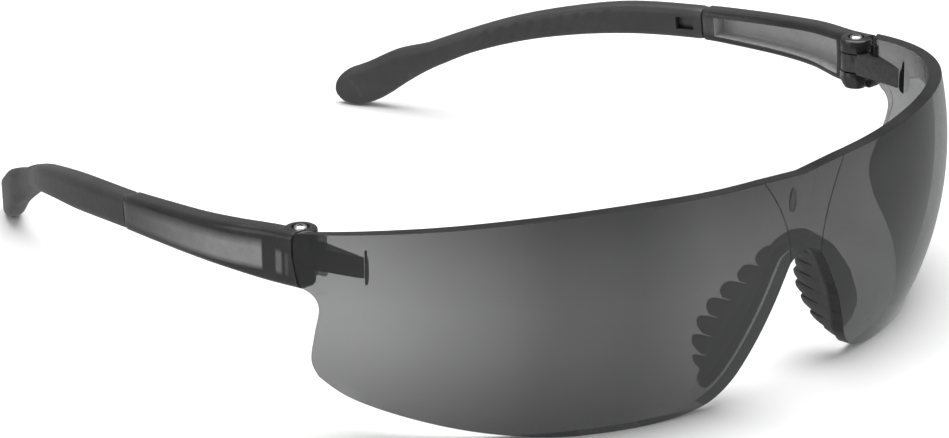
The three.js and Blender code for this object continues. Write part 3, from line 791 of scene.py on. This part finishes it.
def build_tip():
    """Soft tip: rounded, scalloped on its inner side, with a window over the core, cut level at the floor."""
    start, end_point = param_at_y(PART_Y + 0.15), centripetal(CENTRE_LINE, [1.0])[0]
    steps, rings, travelled, last = 190, [], 0.0, None
    for i in range(steps + 1):
        param = start + (1 - start) * math.sin(i / steps * math.pi / 2) ** 0.9
        width, height = size_at(param)
        here = path_frame(param)[0]
        travelled += 0 if last is None else float(np.linalg.norm(here - last))
        last = here
        left = float(np.linalg.norm(here - end_point))
        inside = min(max(1 - left / 5.7, 0), 0.985)
        shrink = math.sqrt(1 - inside**2)
        lip = 1 - 0.06 * math.exp(-travelled / 0.25)
        outline = section(width * shrink * lip, height * shrink * lip, 1.6 * shrink, 6, 9)
        rings.append(ring_at(param, scalloped(outline, travelled, width, height)))
    tip = loft("left_tip_sleeve", rings, [TIP_RUBBER])
    cavity = swept("cavity", PART_Y - 2, 58.3, 16, lambda p: ring_at(p, section(2.6, 3.5, 0.8, 3)),
                   [TIP_RUBBER])
    window = swept("window", 42, 46, 2, lambda p: ring_at(p, section(size_at(p)[0], 2.4, 0.4, 3),
                                                          -size_at(p)[0] / 2), [TIP_RUBBER])
    floor_cut = prism("floor_cut", [(15, 75), (75, 75), (75, 135), (15, 135)], -10, 0, [TIP_RUBBER])
    carve(tip, ("DIFFERENCE", cavity), ("DIFFERENCE", window), ("DIFFERENCE", floor_cut))
    return smooth(tip, 32)


def scalloped(outline, travelled, width, height):
    """Presses slanted grooves into the inner side over the middle of the tip."""
    made = []
    for side, rise in outline:
        inner = max(0.0, -side / (width / 2))
        fade = min(max((travelled - 17) / 4, 0), 1) * min(max((56 - travelled) / 5, 0), 1)
        phase = (travelled + 0.9 * rise) / 3.3
        groove = 0.5 + 0.5 * math.cos(2 * math.pi * phase)
        band = math.exp(-((rise / (height * 0.36)) ** 4))
        made.append((side + 0.38 * fade * inner**2 * band * groove**2, rise))
    return made


def build_seam_shadow():
    """Near-black ring in the joint line between arm and tip: a painted shadow standing in for the shade at
    the bottom of the gap.
    """
    return swept("left_seam_shadow", PART_Y - 0.4, PART_Y + 0.2, 2,
                 lambda p: ring_at(p, section(size_at(p)[0] - 0.45, size_at(p)[1] - 0.45, 1.1)), [SEAM_SHADOW])


def build_screw():
    """Domed screw head with a cross recess, on its shank."""
    profile = [(0.45, 25.3), (0.7, 25.45), (0.7, 34.0), (1.2, 34.0), (1.2, 34.45), (1.14, 34.62),
               (1.0, 34.78), (0.78, 34.9), (0.45, 34.98), (0.12, 35.0)]
    screw = lathe("left_screw", profile, (HINGE_X, 0), 40, [STEEL])
    slots = [prism("slot", [(HINGE_X - a, -b), (HINGE_X + a, -b), (HINGE_X + a, b), (HINGE_X - a, b)],
                   34.62, 36, [STEEL]) for a, b in ((0.62, 0.13), (0.13, 0.62))]
    carve(screw, *[("DIFFERENCE", s) for s in slots])
    return smooth(screw, 32)


left_pieces = {
    "hinge_bar": (left_bar, "front", ["end_piece"], "end_piece"),
    "hinge_plate": (left_plate, "front", [], "lens"),
    "end_wall": (left_wall, "front", [], "lens"),
    "tip_seam_shadow": (build_seam_shadow(), "temple", [], "tip_rubber"),
    "arm_shell": (build_arm(), "temple", ["temple_arm"], "temple_arm"),
    "tip_sleeve": (build_tip(), "temple", ["temple_tip"], "tip_rubber"),
    "screw": (build_screw(), "temple", ["hinge_screw"], "screw"),
}
for part, (piece, body, nodes, slot) in left_pieces.items():
    for side, obj in (("left", piece), ("right", mirror_of(piece, f"right_{part}"))):
        obj.name = f"{side}_{part}"
        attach(obj, body if body == "front" else f"{side}_{body}")
        for node in nodes:
            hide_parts(f"{side}_{node}")

# ------------------------------------------------------------------ studio


def floor_plane():
    mesh = bpy.data.meshes.new("floor")
    mesh.from_pydata([(-6, -6, 0), (6, -6, 0), (6, 6, 0), (-6, 6, 0)], [], [(0, 1, 2, 3)])
    n = Nodes("floor_paper")
    base = n.ramp(n.noise(3, 2), [(0.3, grey(0.86)), (0.7, grey(0.88))])
    shader = n.add("ShaderNodeBsdfPrincipled", {"Base Color": base, "Roughness": 0.9,
                                                "Specular IOR Level": 0.1})
    mesh.materials.append(n.finish(shader.outputs[0]))
    floor = bpy.data.objects.new("floor", mesh)
    scene.collection.objects.link(floor)
    floor.visible_glossy = False  # the lens reflects the surround, not the bright paper


def sky():
    """Soft surround: light overhead and below, darker at eye level and towards the back."""
    world = bpy.data.worlds.new("studio")
    scene.world = world
    world.use_nodes = True
    tree = world.node_tree
    tree.nodes.clear()
    out = tree.nodes.new("ShaderNodeOutputWorld")
    background = tree.nodes.new("ShaderNodeBackground")
    coordinate = tree.nodes.new("ShaderNodeTexCoord")
    split = tree.nodes.new("ShaderNodeSeparateXYZ")
    ramp = tree.nodes.new("ShaderNodeValToRGB")
    span = tree.nodes.new("ShaderNodeMapRange")
    span.inputs["From Min"].default_value = -1
    stops = ramp.color_ramp.elements
    stops[0].position, stops[0].color = 0.0, (*grey(0.62), 1)
    stops[1].position, stops[1].color = 1.0, (*grey(0.667), 1)
    for at, value in ((0.16, 0.8), (0.27, 0.86), (0.4, 0.75), (0.52, 0.4), (0.62, 0.47)):
        stops.new(at).color = (*grey(value), 1)
    tree.links.new(coordinate.outputs["Generated"], split.inputs[0])
    tree.links.new(split.outputs["Z"], span.inputs["Value"])
    tree.links.new(span.outputs[0], ramp.inputs["Fac"])
    tree.links.new(ramp.outputs["Color"], background.inputs["Color"])
    tree.links.new(background.outputs[0], out.inputs["Surface"])
    away = tree.nodes.new("ShaderNodeMapRange")
    for key, value in (("From Min", -0.6), ("From Max", 0.6), ("To Min", 1.25), ("To Max", 0.62)):
        away.inputs[key].default_value = value
    tree.links.new(split.outputs["Y"], away.inputs["Value"])
    tree.links.new(away.outputs[0], background.inputs["Strength"])


def panel(name, place, target, width, height, power):
    light = bpy.data.lights.new(name, "AREA")
    light.shape = "RECTANGLE"
    light.size, light.size_y, light.energy = width, height, power
    obj = bpy.data.objects.new(name, light)
    scene.collection.objects.link(obj)
    obj.location = place
    obj.rotation_euler = (Vector(target) - Vector(place)).to_track_quat("-Z", "Y").to_euler()


def camera():
    """Camera at the photograph's viewing angle, placed from the hinge line."""
    data = bpy.data.cameras.new("camera")
    data.sensor_width, data.lens = 36.0, 163.13
    data.clip_start, data.clip_end = 0.05, 50
    obj = bpy.data.objects.new("camera", data)
    scene.collection.objects.link(obj)
    place = Vector((-496.85, HINGE_Y - 497.22, 289.68)) * MM
    forward = Vector((0.63913, 0.67905, -0.36111)).normalized()
    up = Vector((0.25563, 0.25527, 0.93246))
    right = forward.cross(up).normalized()
    up = right.cross(forward)
    obj.matrix_world = Matrix((right, up, -forward)).transposed().to_4x4()
    obj.location = place
    scene.camera = obj


floor_plane()
sky()
panel("overhead", (0.15, 0.1, 1.3), (0, 0, 0), 1.6, 1.2, 25)
panel("left_window", (-1.3, 0.5, 0.5), (0, 0, 0.02), 1.0, 1.0, 4)
camera()
scene.view_settings.view_transform = "Standard"
